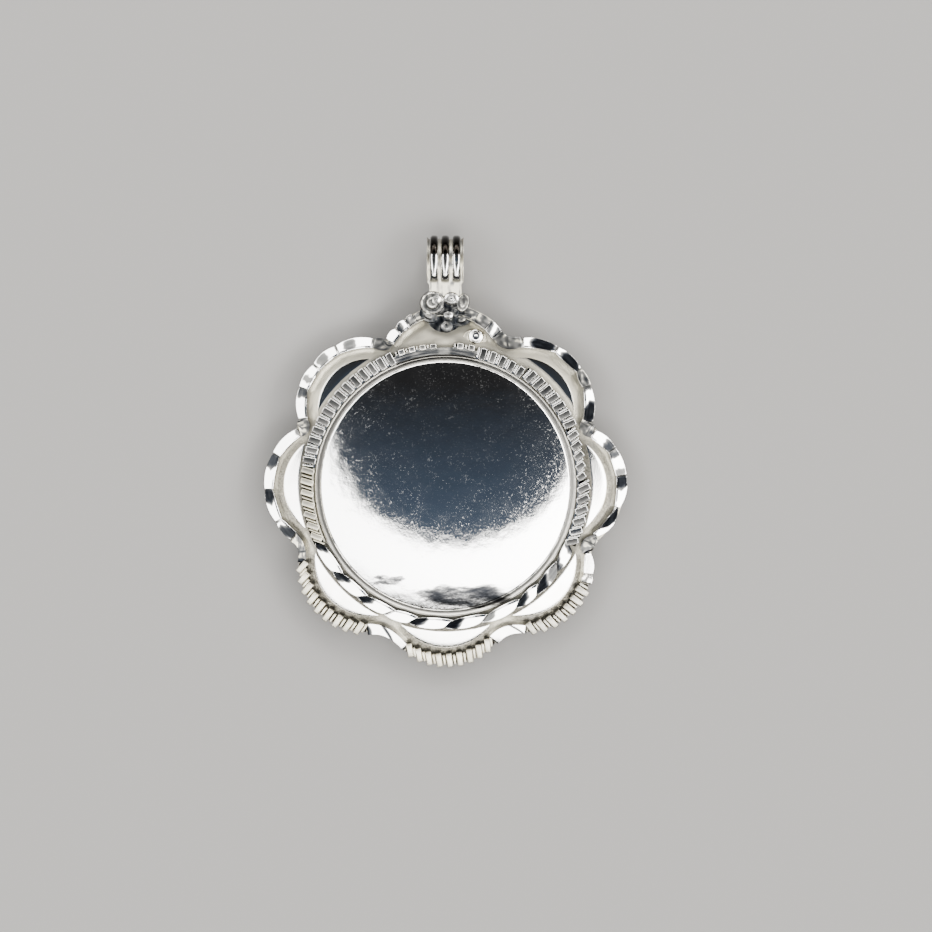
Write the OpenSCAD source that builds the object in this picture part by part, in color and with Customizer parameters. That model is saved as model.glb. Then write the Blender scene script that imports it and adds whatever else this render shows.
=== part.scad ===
// Silver amulet pendant. A domed mirror disc is set in a ring of worked strip, on a pressed
// plate of eight petals whose edges carry the same strip, under a ribbed bail with a rosette
// over its foot. It lies on its back as it rests by itself, on its bail and its lowest petal.
// +Y points towards the bail and +Z up. The origin is under the middle, on the surface.

/* [Plate] */
// Distance from the centre of the plate to the centre of each petal's round edge
petal_out = 14.5; // [14:0.1:15]
// Radius of each petal's round edge, to the outside of its strip
petal_r = 9.45; // [9.2:0.05:9.8]
// Distance of the sheet's edge inside the outside of the strip
sheet_inset = 0.4; // [0.3:0.05:0.5]
// Thickness of the pressed sheet
sheet_t = 0.7; // [0.5:0.1:0.9]
// Radius at which the flat middle ends and the petals start to slope
brim_r = 19.2; // [18.9:0.1:19.6]
// Fall of the petals below the flat middle, in degrees
brim_slope = 15; // [8:1:18]

/* [Strips] */
// Width of the strip along the petals' edges
strip_w = 1.65; // [1.4:0.05:1.8]
// Height of the strips' crests above the sheet
strip_h = 1.25; // [1:0.05:1.5]
// Length of one wide and one narrow bar of the milled strip
bar_pitch = 1.4; // [1.2:0.05:1.7]
// Length of one facet of the cut strip on the petals
petal_facet = 3.7; // [3:0.1:4.4]
// Length of one facet of the cut strip under the disc
ring_facet = 4.4; // [3.6:0.1:5]
// Fall of each facet towards its outer edge, in degrees
facet_fall = 17; // [10:1:20]

/* [Ring] */
// Inner radius of the ring round the disc
ring_r = 17.25; // [17.2:0.05:17.4]
// Width of the ring
ring_w = 1.65; // [1.5:0.05:1.7]

/* [Disc] */
// Radius of the polished dome
dome_r = 16.3; // [15.8:0.1:16.4]
// Height of the dome above its flat rim
dome_h = 2.65; // [2:0.05:3]
// Thickness of the disc
disc_t = 0.6; // [0.4:0.05:0.6]
// Gap round the disc
disc_gap = 0.12; // [0.08:0.01:0.2]

/* [Bail] */
// Radius of the hole through the bail
bore_r = 2.5; // [2.2:0.1:2.6]
// Width of the bail
bail_w = 4.8; // [4.4:0.1:5.2]
// Distance of the hole's axis from the centre of the plate
bail_y = 29.3; // [29:0.1:30]
// Thickness of the bail's strip in the grooves between its ribs
bail_t = 0.5; // [0.4:0.05:0.6]
// Radius of each rib
rib_r = 0.6; // [0.5:0.05:0.65]
// Height of the ribs above the grooves
rib_h = 0.5; // [0.35:0.05:0.5]
// Width of the plain collar under the ribs
collar_w = 4.2; // [3.6:0.1:4.4]

/* [Rosette] */
// Distance of the rosette from the centre of the plate
rosette_y = 22.7; // [22:0.1:23.2]
// Height of the rosette's base above the sheet
rosette_lift = 1.1; // [0.8:0.1:1.4]

/* [Hidden] */

// Each petal's direction and the kind of strip on its edge
DIRECTION = 0;
STRIP = 1;
petals = [
    [0, "cut"], [45, "cut"], [90, "cut"], [135, "cut"], [180, "cut"],
    [225, "milled"], [270, "milled"], [315, "milled"],
];

// The lengths of milled strip in the ring: where each starts and ends, how far out it sits, and
// how much narrower than the ring it is at its start and at its end
FROM = 0;
TO = 1;
SHIFT = 2;
SLIM_FROM = 3;
SLIM_TO = 4;
milled_runs = [
    [-25, 2.3, 0, 0, 0], [2.8, 24.8, 0, 0.55, 0.15], [25.4, 55, 0.1, 0, 0], [55.6, 77, -0.05, 0.3, 0.1],
    [77.8, 87, 0.05, 0.3, 0.3], [93.5, 111, -0.05, 0.75, 0.6], [111.8, 204.5, 0, 0, 0],
];
cut_run = [205.2, 334.4];

// The rosette's lobes: place from its centre, half their width, and height of the crest
LOBE_X = 0;
LOBE_Y = 1;
LOBE_A = 2;
LOBE_H = 3;
lobes = [
    [-1.55, 1.5, 1.5, 0.95], [0.9, 1.7, 1.0, 0.85], [2.35, 1.3, 1.0, 0.75],
    [-2.05, -0.4, 1.25, 0.85], [2.1, -1.3, 1.15, 0.65], [-0.1, -2.1, 1.0, 0.7],
    [0.5, -0.2, 0.7, 1.15],
];
rosette_r = 2.75;
rosette_t = 1.2;
// The raised middle that joins the lobes
heart_h = 0.25;

// A spare bead of solder beside the rosette, and how high its middle lies over the sheet
bead_at = [4.3, 19.7];
bead_r = 0.7;
bead_lift = 0.1;

// How far pieces that are soldered together run into each other, and the smallest step in a surface
hidden = 0.3;
hair = 0.03;
big = 100;

tip_r = petal_out + petal_r;
sheet_tip_r = tip_r - sheet_inset;
half_turn = 180 / len(petals);
valley_r = petal_out * cos(half_turn) + sqrt(pow(petal_r, 2) - pow(petal_out * sin(half_turn), 2));
// How far each way the strip runs round a petal, seen from the petal's centre. It stops a little
// short of the valley, so that neighbours stay apart.
valley_gap = 1;
petal_reach = atan2(valley_r * sin(half_turn), valley_r * cos(half_turn) - petal_out) - valley_gap;
// The milled strips end in smooth blades, where they dip into the valleys
blade_reach = 12;

flat_z = (sheet_tip_r - brim_r) * tan(brim_slope);
flat_top = flat_z + sheet_t;
function sheet_top(r) = flat_top - max(0, r - brim_r) * tan(brim_slope);

// The disc's rim rests just clear of the sheet, and the dome is a cap of a large sphere. The
// hollow under the dome leaves a ledge inside the dome's edge.
disc_r = ring_r - disc_gap;
rest_gap = 0.05;
ledge = 0.8;
disc_z = flat_top + rest_gap;
sphere_r = (pow(dome_r, 2) + pow(dome_h, 2)) / (2 * dome_h);
dome_z = disc_z + disc_t + dome_h - sphere_r;

// The bail straddles the sheet's edge, so that its legs run in to the sheet from both sides
crest_r = bore_r + bail_t + rib_h;
rib_centre_r = crest_r - rib_r;
bail_edge = 0.33;
rib_pitch = bail_w / 2 - rib_r - bail_edge;
bail_z = sheet_t / 2;
foot_y = 23.1;
foot_half = 0.95;
rib_end_y = 26.6;
// The legs' front starts inside the loop, this deep and this many degrees before the loop's end
root_depth = 0.2;
root_turn = 15;
leg_angle = asin((bore_r + bail_t) / norm([bail_y - foot_y, foot_half])) - atan2(foot_half, bail_y - foot_y);
leg_reach = 90 + leg_angle;

// At rest the edge of the lowest petal's sheet and the back of the bail both touch the surface
rest_span = norm([bail_y + sheet_tip_r, bail_z]);
rest_tilt = asin(crest_r / rest_span) - atan2(bail_z, bail_y + sheet_tip_r);
rest_top_y = bail_y * cos(rest_tilt) - bail_z * sin(rest_tilt) + crest_r;
rest_bottom_y = -tip_r * cos(rest_tilt) - (sheet_top(tip_r) + strip_h) * sin(rest_tilt);
rest_shift = [0, -(rest_top_y + rest_bottom_y) / 2, sheet_tip_r * sin(rest_tilt)];

module at_rest() {
    translate(rest_shift) rotate([rest_tilt, 0, 0]) children();
}

// Strips are swept along an arc. A station holds its angle, the strip's inner and outer
// radius there, and the height of its inner and outer top edge over the sheet.
ANGLE = 0;
INNER = 1;
OUTER = 2;
INNER_H = 3;
OUTER_H = 4;

function on_arc(centre, angle, r) = centre + r * [cos(angle), sin(angle)];
function over_sheet(p, h) = [p[0], p[1], sheet_top(norm(p)) + h];
function strip_section(centre, s) =
    let (a = on_arc(centre, s[ANGLE], s[INNER]), b = on_arc(centre, s[ANGLE], s[OUTER]))
    [over_sheet(a, -hidden), over_sheet(b, -hidden), over_sheet(b, s[OUTER_H]), over_sheet(a, s[INNER_H])];

module swept_strip(centre, stations) {
    last = len(stations) - 1;
    polyhedron(
        points = [for (s = stations) each strip_section(centre, s)],
        faces = concat(
            [[3, 2, 1, 0]],
            [for (i = [0 : last - 1]) for (k = [0 : 3])
                let (a = 4 * i + k, b = 4 * i + (k + 1) % 4) [a, b, b + 4, a + 4]],
            [[for (k = [0 : 3]) 4 * last + k]]
        )
    );
}

// How far the facets and bars bulge at their sides, and how far the narrow bars draw back
bulge = 0.1;
draw_back = 0.3;

// Where each facet starts and reaches its full width, and leaves it and ends, as shares of its
// length, and its height where it is pinched as a share of the strip's
facet_at = [0.05, 0.3, 0.7, 0.95];
pinch_h = 0.75;

// The same for a wide bar, from groove to groove, and for the narrow bar after it
wide_at = [0.05, 0.12, 0.5, 0.6];
narrow_at = [0.7, 0.88, 0.95];
groove_share = 0.62;
narrow_share = 0.86;

// Cut strip: facets that fall towards the outside, each level and pinched where it starts
function cut_stations(from, to, inner, outer, length) =
    let (
        count = round((to - from) * PI / 180 * (inner + outer) / 2 / length),
        step = (to - from) / count,
        fall = (outer - inner) * tan(facet_fall),
        pinched = strip_h * pinch_h
    )
    [for (i = [0 : count - 1]) each
        let (start = from + i * step)
        [
            [start + facet_at[0] * step, inner + bulge, outer - 2 * bulge, pinched, pinched],
            [start + facet_at[1] * step, inner, outer, strip_h, strip_h - fall],
            [start + facet_at[2] * step, inner, outer, strip_h, strip_h - fall],
            [start + facet_at[3] * step, inner + bulge, outer - 2 * bulge, strip_h - bulge, pinched - fall / 2],
        ]
    ];

// Milled strip: wide and narrow bars by turns, with V grooves between them. The strip may be
// slimmer than the given width at its start and at its end.
function milled_stations(from, to, inner, outer, slim_from = 0, slim_to = 0) =
    let (
        count = round((to - from) * PI / 180 * (inner + outer) / 2 / bar_pitch),
        step = (to - from) / count,
        groove_h = strip_h * groove_share,
        narrow_h = strip_h * narrow_share
    )
    [for (i = [0 : count - 1]) each
        let (
            start = from + i * step,
            edge = outer - slim_from - (slim_to - slim_from) * (i + 0.5) / count
        )
        [
            [start + wide_at[0] * step, inner + bulge, edge - draw_back, groove_h, groove_h],
            [start + wide_at[1] * step, inner, edge, strip_h, strip_h - bulge],
            [start + wide_at[2] * step, inner, edge, strip_h, strip_h - bulge],
            [start + wide_at[3] * step, inner + bulge, edge - draw_back, groove_h, groove_h],
            [start + narrow_at[0] * step, inner + bulge / 2, edge - draw_back, narrow_h, narrow_h - bulge],
            [start + narrow_at[1] * step, inner + bulge / 2, edge - draw_back, narrow_h, narrow_h - bulge],
            [start + narrow_at[2] * step, inner + bulge, edge - draw_back, groove_h, groove_h],
        ]
    ];

// A blade's heights at the end of a milled strip, as shares of the strip's: it twists down
// outwards into the valley
blade_inner = 0.9;
blade_outer = 0.3;
function blade_station(angle, inner, outer) =
    [angle, inner, outer, strip_h * blade_inner, strip_h * blade_outer];

// Petals pressed from one sheet, which slopes down from the ring to the petals' tips
module petal_plate() {
    intersection() {
        rotate_extrude() polygon([
            [0, flat_z], [brim_r, flat_z], [tip_r, sheet_top(tip_r) - sheet_t],
            [tip_r, sheet_top(tip_r)], [brim_r, flat_top], [0, flat_top],
        ]);
        translate([0, 0, -1]) linear_extrude(flat_top + 2) {
            circle(r = ring_r + ring_w);
            for (p = petals) translate(on_arc([0, 0], p[DIRECTION], petal_out)) circle(r = petal_r - sheet_inset);
        }
    }
}

module petal_strips() {
    inner = petal_r - strip_w;
    for (p = petals) {
        from = p[DIRECTION] - petal_reach;
        to = p[DIRECTION] + petal_reach;
        swept_strip(
            on_arc([0, 0], p[DIRECTION], petal_out),
            p[STRIP] == "cut" ? cut_stations(from, to, inner, petal_r, petal_facet) : [
                blade_station(from, inner, petal_r),
                each milled_stations(from + blade_reach, to - blade_reach, inner, petal_r),
                blade_station(to, inner, petal_r),
            ]
        );
    }
}

module ring_strips() {
    for (run = milled_runs) {
        inner = ring_r + run[SHIFT];
        swept_strip(
            [0, 0], milled_stations(run[FROM], run[TO], inner, inner + ring_w, run[SLIM_FROM], run[SLIM_TO])
        );
    }
    swept_strip([0, 0], cut_stations(cut_run[FROM], cut_run[TO], ring_r, ring_r + ring_w, ring_facet));
}

// A stamped flower, with uneven lobes round a small ball. A lobe is the cap of a sphere.
module rosette() {
    base = sheet_top(rosette_y) + rosette_lift;
    translate([0, rosette_y, base - rosette_t]) {
        cylinder(r = rosette_r, h = rosette_t + heart_h, $fn = 64);
        intersection() {
            translate([0, 0, rosette_t - hidden]) cylinder(r = 2 * rosette_r, h = 3, $fn = 64);
            for (l = lobes) {
                r = l[LOBE_H] < l[LOBE_A] ? (pow(l[LOBE_A], 2) + pow(l[LOBE_H], 2)) / (2 * l[LOBE_H]) : l[LOBE_A];
                translate([l[LOBE_X], l[LOBE_Y], rosette_t + l[LOBE_H] - r]) sphere(r = r, $fn = 32);
            }
        }
    }
}

module solder_bead() {
    translate([bead_at[0], bead_at[1], sheet_top(norm(bead_at)) + bead_lift]) sphere(r = bead_r, $fn = 32);
}

// Across the bail, from its axis: each leg leaves the loop along a tangent and runs down and in
// at leg_angle. The legs lie a hair inside the loop's surface.
function across(r, angle) = r * [cos(angle), sin(angle)];
function leg_length(r, down) = (down - r * sin(leg_angle)) / cos(leg_angle);
function leg_point(r, down) =
    across(r, leg_reach) - leg_length(r, down) * [cos(leg_angle), sin(leg_angle)];

module across_bail(width) {
    translate([-width / 2, 0, 0]) rotate([90, 0, 90]) linear_extrude(width) children();
}

module bail_loop() {
    rotate([90, 0, 90]) rotate([0, 0, -leg_reach]) rotate_extrude(angle = 2 * leg_reach, $fn = 96) {
        translate([bore_r - hidden, -bail_w / 2]) square([bail_t + hidden, bail_w]);
        for (x = [-1 : 1]) translate([rib_centre_r, x * rib_pitch]) circle(r = rib_r, $fn = 32);
    }
}

// The two legs with the solder between them, as wide as the ribbed strip and then plain
module bail_legs() {
    r = bore_r + bail_t - hair;
    front = [across(r - root_depth, leg_reach - root_turn), across(r, leg_reach), leg_point(r, bail_y - rib_end_y)];
    foot = leg_point(r, bail_y - foot_y);
    across_bail(bail_w) polygon([[0, 0], each front, for (i = [2 : -1 : 0]) [front[i][0], -front[i][1]]]);
    across_bail(collar_w) polygon([front[2], foot, [foot[0], -foot[1]], [front[2][0], -front[2][1]]]);
    rib_start = across(rib_centre_r, leg_reach);
    for (side = [0, 1], x = [-1 : 1])
        mirror([0, 0, side]) translate([x * rib_pitch, rib_start[0], rib_start[1]])
            rotate([90 + leg_angle, 0, 0]) translate([0, 0, -hidden])
                cylinder(r = rib_r - hair, h = hidden + leg_length(rib_centre_r, bail_y - rib_end_y), $fn = 32);
}

module bail() {
    translate([0, bail_y, bail_z]) difference() {
        union() {
            bail_loop();
            bail_legs();
        }
        rotate([0, 90, 0]) cylinder(r = bore_r, h = big, center = true, $fn = 96);
    }
}

module silver_frame() {
    color("gainsboro") at_rest() {
        petal_plate();
        petal_strips();
        ring_strips();
        rosette();
        solder_bead();
        bail();
    }
}

// A thin domed disc with a flat rim, open underneath
module centre_disc() {
    color("white") at_rest() difference() {
        union() {
            translate([0, 0, disc_z]) cylinder(r = disc_r, h = disc_t, $fn = 180);
            intersection() {
                translate([0, 0, dome_z]) sphere(r = sphere_r, $fn = 180);
                translate([0, 0, disc_z + disc_t / 2]) cylinder(r = dome_r, h = big, $fn = 180);
            }
        }
        intersection() {
            translate([0, 0, dome_z]) sphere(r = sphere_r - disc_t, $fn = 180);
            translate([0, 0, disc_z - 1]) cylinder(r = dome_r - ledge, h = big, $fn = 180);
        }
    }
}

silver_frame();
centre_disc();
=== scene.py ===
import math

import bmesh
import bpy
from mathutils import Matrix, Vector, noise


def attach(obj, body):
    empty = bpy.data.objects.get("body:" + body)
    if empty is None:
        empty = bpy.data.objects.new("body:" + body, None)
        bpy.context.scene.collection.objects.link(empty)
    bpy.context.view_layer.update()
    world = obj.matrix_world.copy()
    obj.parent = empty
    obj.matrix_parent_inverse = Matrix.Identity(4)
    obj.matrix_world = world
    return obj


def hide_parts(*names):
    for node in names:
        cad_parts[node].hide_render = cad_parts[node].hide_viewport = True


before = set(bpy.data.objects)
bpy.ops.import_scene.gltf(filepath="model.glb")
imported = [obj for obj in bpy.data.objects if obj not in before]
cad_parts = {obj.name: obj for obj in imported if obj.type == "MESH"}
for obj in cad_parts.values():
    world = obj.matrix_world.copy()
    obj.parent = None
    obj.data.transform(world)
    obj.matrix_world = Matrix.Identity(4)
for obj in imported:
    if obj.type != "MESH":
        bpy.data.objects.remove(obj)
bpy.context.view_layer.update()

print("frame loaded")

# Sizes are in millimetres and degrees, in the pendant's own flat frame: the middle of the plate is
# at the origin and +Y points towards the bail. layDown turns each finished piece to where it rests.
sheet = {
    "petalOut": 14.5,      # middle of the plate to the middle of a petal's round edge
    "petalR": 9.45,        # outside of the strip round a petal
    "inset": 0.4,          # the sheet's edge lies this far inside the strip's
    "thick": 0.7,
    "brimR": 19.2,         # the petals slope down from here
    "slope": 15.0,
}
strip = {"width": 1.65, "height": 1.25, "hidden": 0.25}
ring = {"inner": 17.25, "width": 1.65}
bail = {"y": 29.3, "bore": 2.5, "wall": 0.5, "rib": 0.5}
petalPitch = 45
halfPitch = petalPitch / 2

tipR = sheet["petalOut"] + sheet["petalR"]
sheetTipR = tipR - sheet["inset"]
stripFoot = sheet["petalR"] - strip["width"]
stripMiddle = sheet["petalR"] - strip["width"] / 2
fall = math.tan(math.radians(sheet["slope"]))
flatTop = (sheetTipR - sheet["brimR"]) * fall + sheet["thick"]
crestR = bail["bore"] + bail["wall"] + bail["rib"]
bailZ = sheet["thick"] / 2

span = math.hypot(bail["y"] + sheetTipR, bailZ)
tilt = math.asin(crestR / span) - math.atan2(bailZ, bail["y"] + sheetTipR)
topY = bail["y"] * math.cos(tilt) - bailZ * math.sin(tilt) + crestR
bottomZ = flatTop - (tipR - sheet["brimR"]) * fall + strip["height"]
bottomY = -tipR * math.cos(tilt) - bottomZ * math.sin(tilt)
layDown = (
    Matrix.Scale(0.001, 4)
    @ Matrix.Translation((0, -(topY + bottomY) / 2, sheetTipR * math.sin(tilt)))
    @ Matrix.Rotation(tilt, 4, "X")
)


# The rows of a table, each as a dictionary under the names of its columns
def table(columns, *rows):
    return [dict(zip(columns.split(), row)) for row in rows]


def polar(r, angle, centre=(0, 0)):
    a = math.radians(angle)
    return Vector((centre[0] + r * math.cos(a), centre[1] + r * math.sin(a)))


def sheetTop(p):
    return flatTop - max(0, math.hypot(p[0], p[1]) - sheet["brimR"]) * fall


# The point at this height over the sheet, or hidden in it where none is given
def overSheet(spot, rise=-strip["hidden"]):
    return Vector((spot.x, spot.y, sheetTop(spot) + rise))


def smooth(low, high, x):
    t = min(1, max(0, (x - low) / (high - low)))
    return t * t * (3 - 2 * t)


# How much something shows that fades in between the first two values and out between the last two
def within(stretch, x):
    start, full, last, end = stretch
    return smooth(start, full, x) * smooth(end, last, x)


def mix(a, b, t):
    return a + (b - a) * t


def deselectAll():
    if bpy.context.object and bpy.context.object.mode != "OBJECT":
        bpy.ops.object.mode_set(mode="OBJECT")
    bpy.ops.object.select_all(action="DESELECT")


def only(piece):
    deselectAll()
    piece.select_set(True)
    bpy.context.view_layer.objects.active = piece


def named(name):
    piece = bpy.context.object
    piece.name = name
    piece.data.name = name
    return piece


# Opens a piece in edit mode with all of it selected
def editAll(piece):
    only(piece)
    bpy.ops.object.mode_set(mode="EDIT")
    bpy.ops.mesh.select_all(action="SELECT")


def leaveEdit():
    bpy.ops.object.mode_set(mode="OBJECT")


def flipFaces(piece):
    editAll(piece)
    bpy.ops.mesh.flip_normals()
    leaveEdit()


def shape(piece, place):
    for v in piece.data.vertices:
        v.co = place(v.co)


# In edit mode, leaves just the vertices that pass the test selected
def pick(piece, test):
    bpy.ops.mesh.select_mode(type="VERT")
    bpy.ops.mesh.select_all(action="DESELECT")
    mesh = bmesh.from_edit_mesh(piece.data)
    for v in mesh.verts:
        v.select = test(v.co)
    mesh.select_flush(True)
    bmesh.update_edit_mesh(piece.data)


# One value a vertex, which the materials read
def layerOf(piece, name):
    layers = piece.data.attributes
    return (layers.get(name) or layers.new(name, "FLOAT", "POINT")).data


def paint(piece, name, value):
    for v, entry in zip(piece.data.vertices, layerOf(piece, name)):
        entry.value = value(v.co)


# Moves each vertex to its place and marks how polished it is there, its soot and painted shade, and its
# painted shade and dark reflection
def mould(piece, place):
    spots = [place(v.co) for v in piece.data.vertices]
    for column, name in enumerate(("polish", "soot", "shade")):
        for entry, spot in zip(layerOf(piece, name), spots):
            entry.value = spot[column + 1]
    for v, spot in zip(piece.data.vertices, spots):
        v.co = spot[0]


def applyAll(piece):
    only(piece)
    for modifier in list(piece.modifiers):
        bpy.ops.object.modifier_apply(modifier=modifier.name)


def bevel(piece, width, segments=2, angle=40):
    modifier = piece.modifiers.new("edges", "BEVEL")
    modifier.width = width
    modifier.segments = segments
    modifier.limit_method = "ANGLE"
    modifier.angle_limit = math.radians(angle)
    applyAll(piece)


def thicken(piece, thickness):
    solid = piece.modifiers.new("thickness", "SOLIDIFY")
    solid.thickness = thickness
    solid.offset = -1
    applyAll(piece)


def joined(parts, name):
    deselectAll()
    for part in parts:
        part.select_set(True)
    bpy.context.view_layer.objects.active = parts[0]
    bpy.ops.object.join()
    return named(name)


def copyOf(piece):
    only(piece)
    bpy.ops.object.duplicate()
    return bpy.context.object


def remove(*pieces):
    for piece in pieces:
        only(piece)
        bpy.ops.object.delete()


# Merges, turns the faces out, shades, lays the piece down, gives it its body and material and hides the
# frame's part for its node
def finish(piece, material, node="silver_frame", angle=32, crisp=True):
    editAll(piece)
    bpy.ops.mesh.remove_doubles(threshold=0.0004)
    bpy.ops.mesh.normals_make_consistent(inside=False)
    leaveEdit()
    bpy.ops.object.shade_smooth_by_angle(angle=math.radians(angle))
    piece.matrix_world = layDown
    bpy.ops.object.transform_apply(location=True, rotation=True, scale=True)
    if crisp:
        flats = piece.modifiers.new("flats", "WEIGHTED_NORMAL")
        flats.keep_sharp = True
        applyAll(piece)
    piece.data.materials.clear()
    piece.data.materials.append(material)
    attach(piece, "root")
    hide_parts(node)
    print("made", piece.name, len(piece.data.polygons), "faces")


# A circle extruded again and again, one unit up each time, as rows to be shaped, closed at the end
def circleRows(name, columns, count, closeStart=False):
    deselectAll()
    bpy.ops.mesh.primitive_circle_add(vertices=columns, radius=1, fill_type="NOTHING")
    piece = named(name)
    editAll(piece)
    bpy.ops.mesh.select_mode(type="EDGE")
    for _ in range(count - 1):
        bpy.ops.mesh.extrude_edges_move(TRANSFORM_OT_translate={"value": (0, 0, 1)})
    bpy.ops.mesh.edge_face_add()
    if closeStart:
        pick(piece, lambda p: p.z < 0.5)
        bpy.ops.mesh.edge_face_add()
    leaveEdit()
    return piece


# A fine grid, where x and y run from 0 to 1
def unitGrid(name, along, across):
    deselectAll()
    bpy.ops.mesh.primitive_grid_add(
        x_subdivisions=along, y_subdivisions=across, size=1, location=(0.5, 0.5, 0),
    )
    bpy.ops.object.transform_apply(location=True)
    return named(name)


# A block with such a grid above and below, where z is 0 below and 1 on top
def gridBlock(name, along, across):
    piece = unitGrid(name, along, across)
    editAll(piece)
    bpy.ops.mesh.extrude_region_move(TRANSFORM_OT_translate={"value": (0, 0, 1)})
    leaveEdit()
    return piece


# Node building, shared by the materials. New nodes go to the tree that was opened last.
bench = {}
nodeSettings = ("operation", "data_type", "attribute_name", "vector_type", "invert")


def openTree(owner):
    owner.use_nodes = True
    bench["tree"] = owner.node_tree
    return owner.node_tree.nodes


def newMaterial(name):
    material = bpy.data.materials.new(name)
    return material, openTree(material)["Principled BSDF"].inputs


def feed(socket, value):
    if isinstance(value, bpy.types.NodeSocket):
        bench["tree"].links.new(value, socket)
    else:
        socket.default_value = value


def addNode(kind, **settings):
    node = bench["tree"].nodes.new("ShaderNode" + kind)
    for key, value in settings.items():
        if key in nodeSettings:
            setattr(node, key, value)
        else:
            feed(node.inputs[key.replace("_", " ")], value)
    return node


def painted(name):
    return addNode("Attribute", attribute_name=name).outputs["Fac"]


def grainAt(where, scale, detail, rough, **more):
    node = addNode("TexNoise", Vector=where, Scale=scale, Detail=detail, Roughness=rough, **more)
    return node.outputs["Fac"]


def remap(source, fromMin, fromMax, toMin=0.0, toMax=1.0):
    ends = {"From_Min": fromMin, "From_Max": fromMax, "To_Min": toMin, "To_Max": toMax}
    return addNode("MapRange", Value=source, **ends).outputs["Result"]


def calc(operation, a, b=0.0):
    node = addNode("Math", operation=operation)
    feed(node.inputs[0], a)
    feed(node.inputs[1], b)
    return node.outputs["Value"]


def highest(values):
    top = values[0]
    for value in values[1:]:
        top = calc("MAXIMUM", top, value)
    return top


def blendColour(share, a, b):
    node = addNode("Mix", data_type="RGBA", Factor=share)
    for name, value in (("A", a), ("B", b)):
        feed([s for s in node.inputs if s.name == name and s.enabled][0], value)
    return [s for s in node.outputs if s.enabled][0]


def toneRamp(source, stops):
    node = addNode("ValToRGB", Fac=source)
    elements = node.color_ramp.elements
    while len(elements) < len(stops):
        elements.new(0.5)
    for element, (place, colour) in zip(elements, stops):
        element.position = place
    for element, (place, colour) in zip(elements, stops):
        element.color = colour
    return node.outputs["Color"]


# Silver. The polish attribute says where it is burnished and where it is left matte and creamy, the
# soot-and-shade attribute where soot and painted shade darken it, and the shade attribute where painted
# shade and painted dark reflections turn it grey to near black. Pattern sizes are per metre, and a pair is
# where something starts and where it is full.
silverLook = {
    "bright": (0.94, 0.935, 0.915, 1),
    "matte": (0.67, 0.635, 0.52, 1),
    "bloom": (0.42, 0.38, 0.29, 1),
    "soot": (0.0085, 0.0072, 0.006, 1),
    # the greys of the painted shade and dark reflections, from light to near black
    "shadeTones": [(0.1, (0.2, 0.198, 0.19, 1)), (0.35, (0.075, 0.076, 0.075, 1)),
              (0.6, (0.028, 0.030, 0.033, 1)), (0.8, (0.0125, 0.014, 0.017, 1)),
              (1.0, (0.0055, 0.0062, 0.0080, 1))],
    "shadeRough": 0.36,
    "mottle": 900.0,
    "cloud": 260.0,
    "grain": 5200.0,
    "grainDeep": 0.00004,
    "burnished": (0.35, 0.75),
    "cloudyRough": (0.85, 1.2),     # the clouds make it smoother and rougher by these shares
    "bloomed": (0.42, 0.75),
    "sootAndShadeEdge": 0.25,               # how grainy the edge of the soot and painted shade is
    "sootAndShadeShare": (0.2, 0.85),
    "shadeMottle": (0.8, 1.15),
    "greyShade": (0.03, 0.14),
}


def workedSilver(name, shine, dull, grainBump, mottleShare, tarnish=0.25):
    material, sockets = newMaterial(name)
    feed(sockets["Metallic"], 1.0)
    where = addNode("TexCoord").outputs["Object"]
    mottle = grainAt(where, silverLook["mottle"], 4.0, 0.6)
    cloud = grainAt(where, silverLook["cloud"], 4.0, 0.6)
    grain = grainAt(where, silverLook["grain"], 3.0, 0.7)
    # the burnished stretches have ragged edges and cloudy spots
    ragged = calc("ADD", calc("MULTIPLY", mottle, mottleShare), painted("polish"))
    share = remap(ragged, *[end + mottleShare / 2 for end in silverLook["burnished"]])
    cloudy = remap(cloud, 0.3, 0.7, *silverLook["cloudyRough"])
    rough = calc("MULTIPLY", remap(share, 0, 1, dull, shine), cloudy)
    tone = blendColour(share, silverLook["matte"], silverLook["bright"])
    # a faint brown bloom in clouds, and soot and painted shade with a grainy edge
    tone = blendColour(remap(cloud, *silverLook["bloomed"], 0.0, tarnish), tone, silverLook["bloom"])
    ragged = remap(grain, 0.2, 0.8, -silverLook["sootAndShadeEdge"], silverLook["sootAndShadeEdge"])
    sootAndShadeShare = remap(calc("ADD", painted("soot"), ragged), *silverLook["sootAndShadeShare"])
    tone = blendColour(sootAndShadeShare, tone, silverLook["soot"])
    # the painted shade and painted dark reflections, grey to near black, mottled a little
    shade = painted("shade")
    uneven = remap(mottle, 0.25, 0.75, *silverLook["shadeMottle"])
    greyShade = remap(shade, *silverLook["greyShade"])
    shadeTones = toneRamp(calc("MULTIPLY", shade, uneven), silverLook["shadeTones"])
    feed(sockets["Base Color"], blendColour(greyShade, tone, shadeTones))
    feed(sockets["Roughness"], calc("MAXIMUM", rough, calc("MULTIPLY", greyShade, silverLook["shadeRough"])))
    bump = addNode("Bump", Strength=grainBump, Distance=silverLook["grainDeep"], Height=grain)
    feed(sockets["Normal"], bump.outputs["Normal"])
    return material


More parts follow.
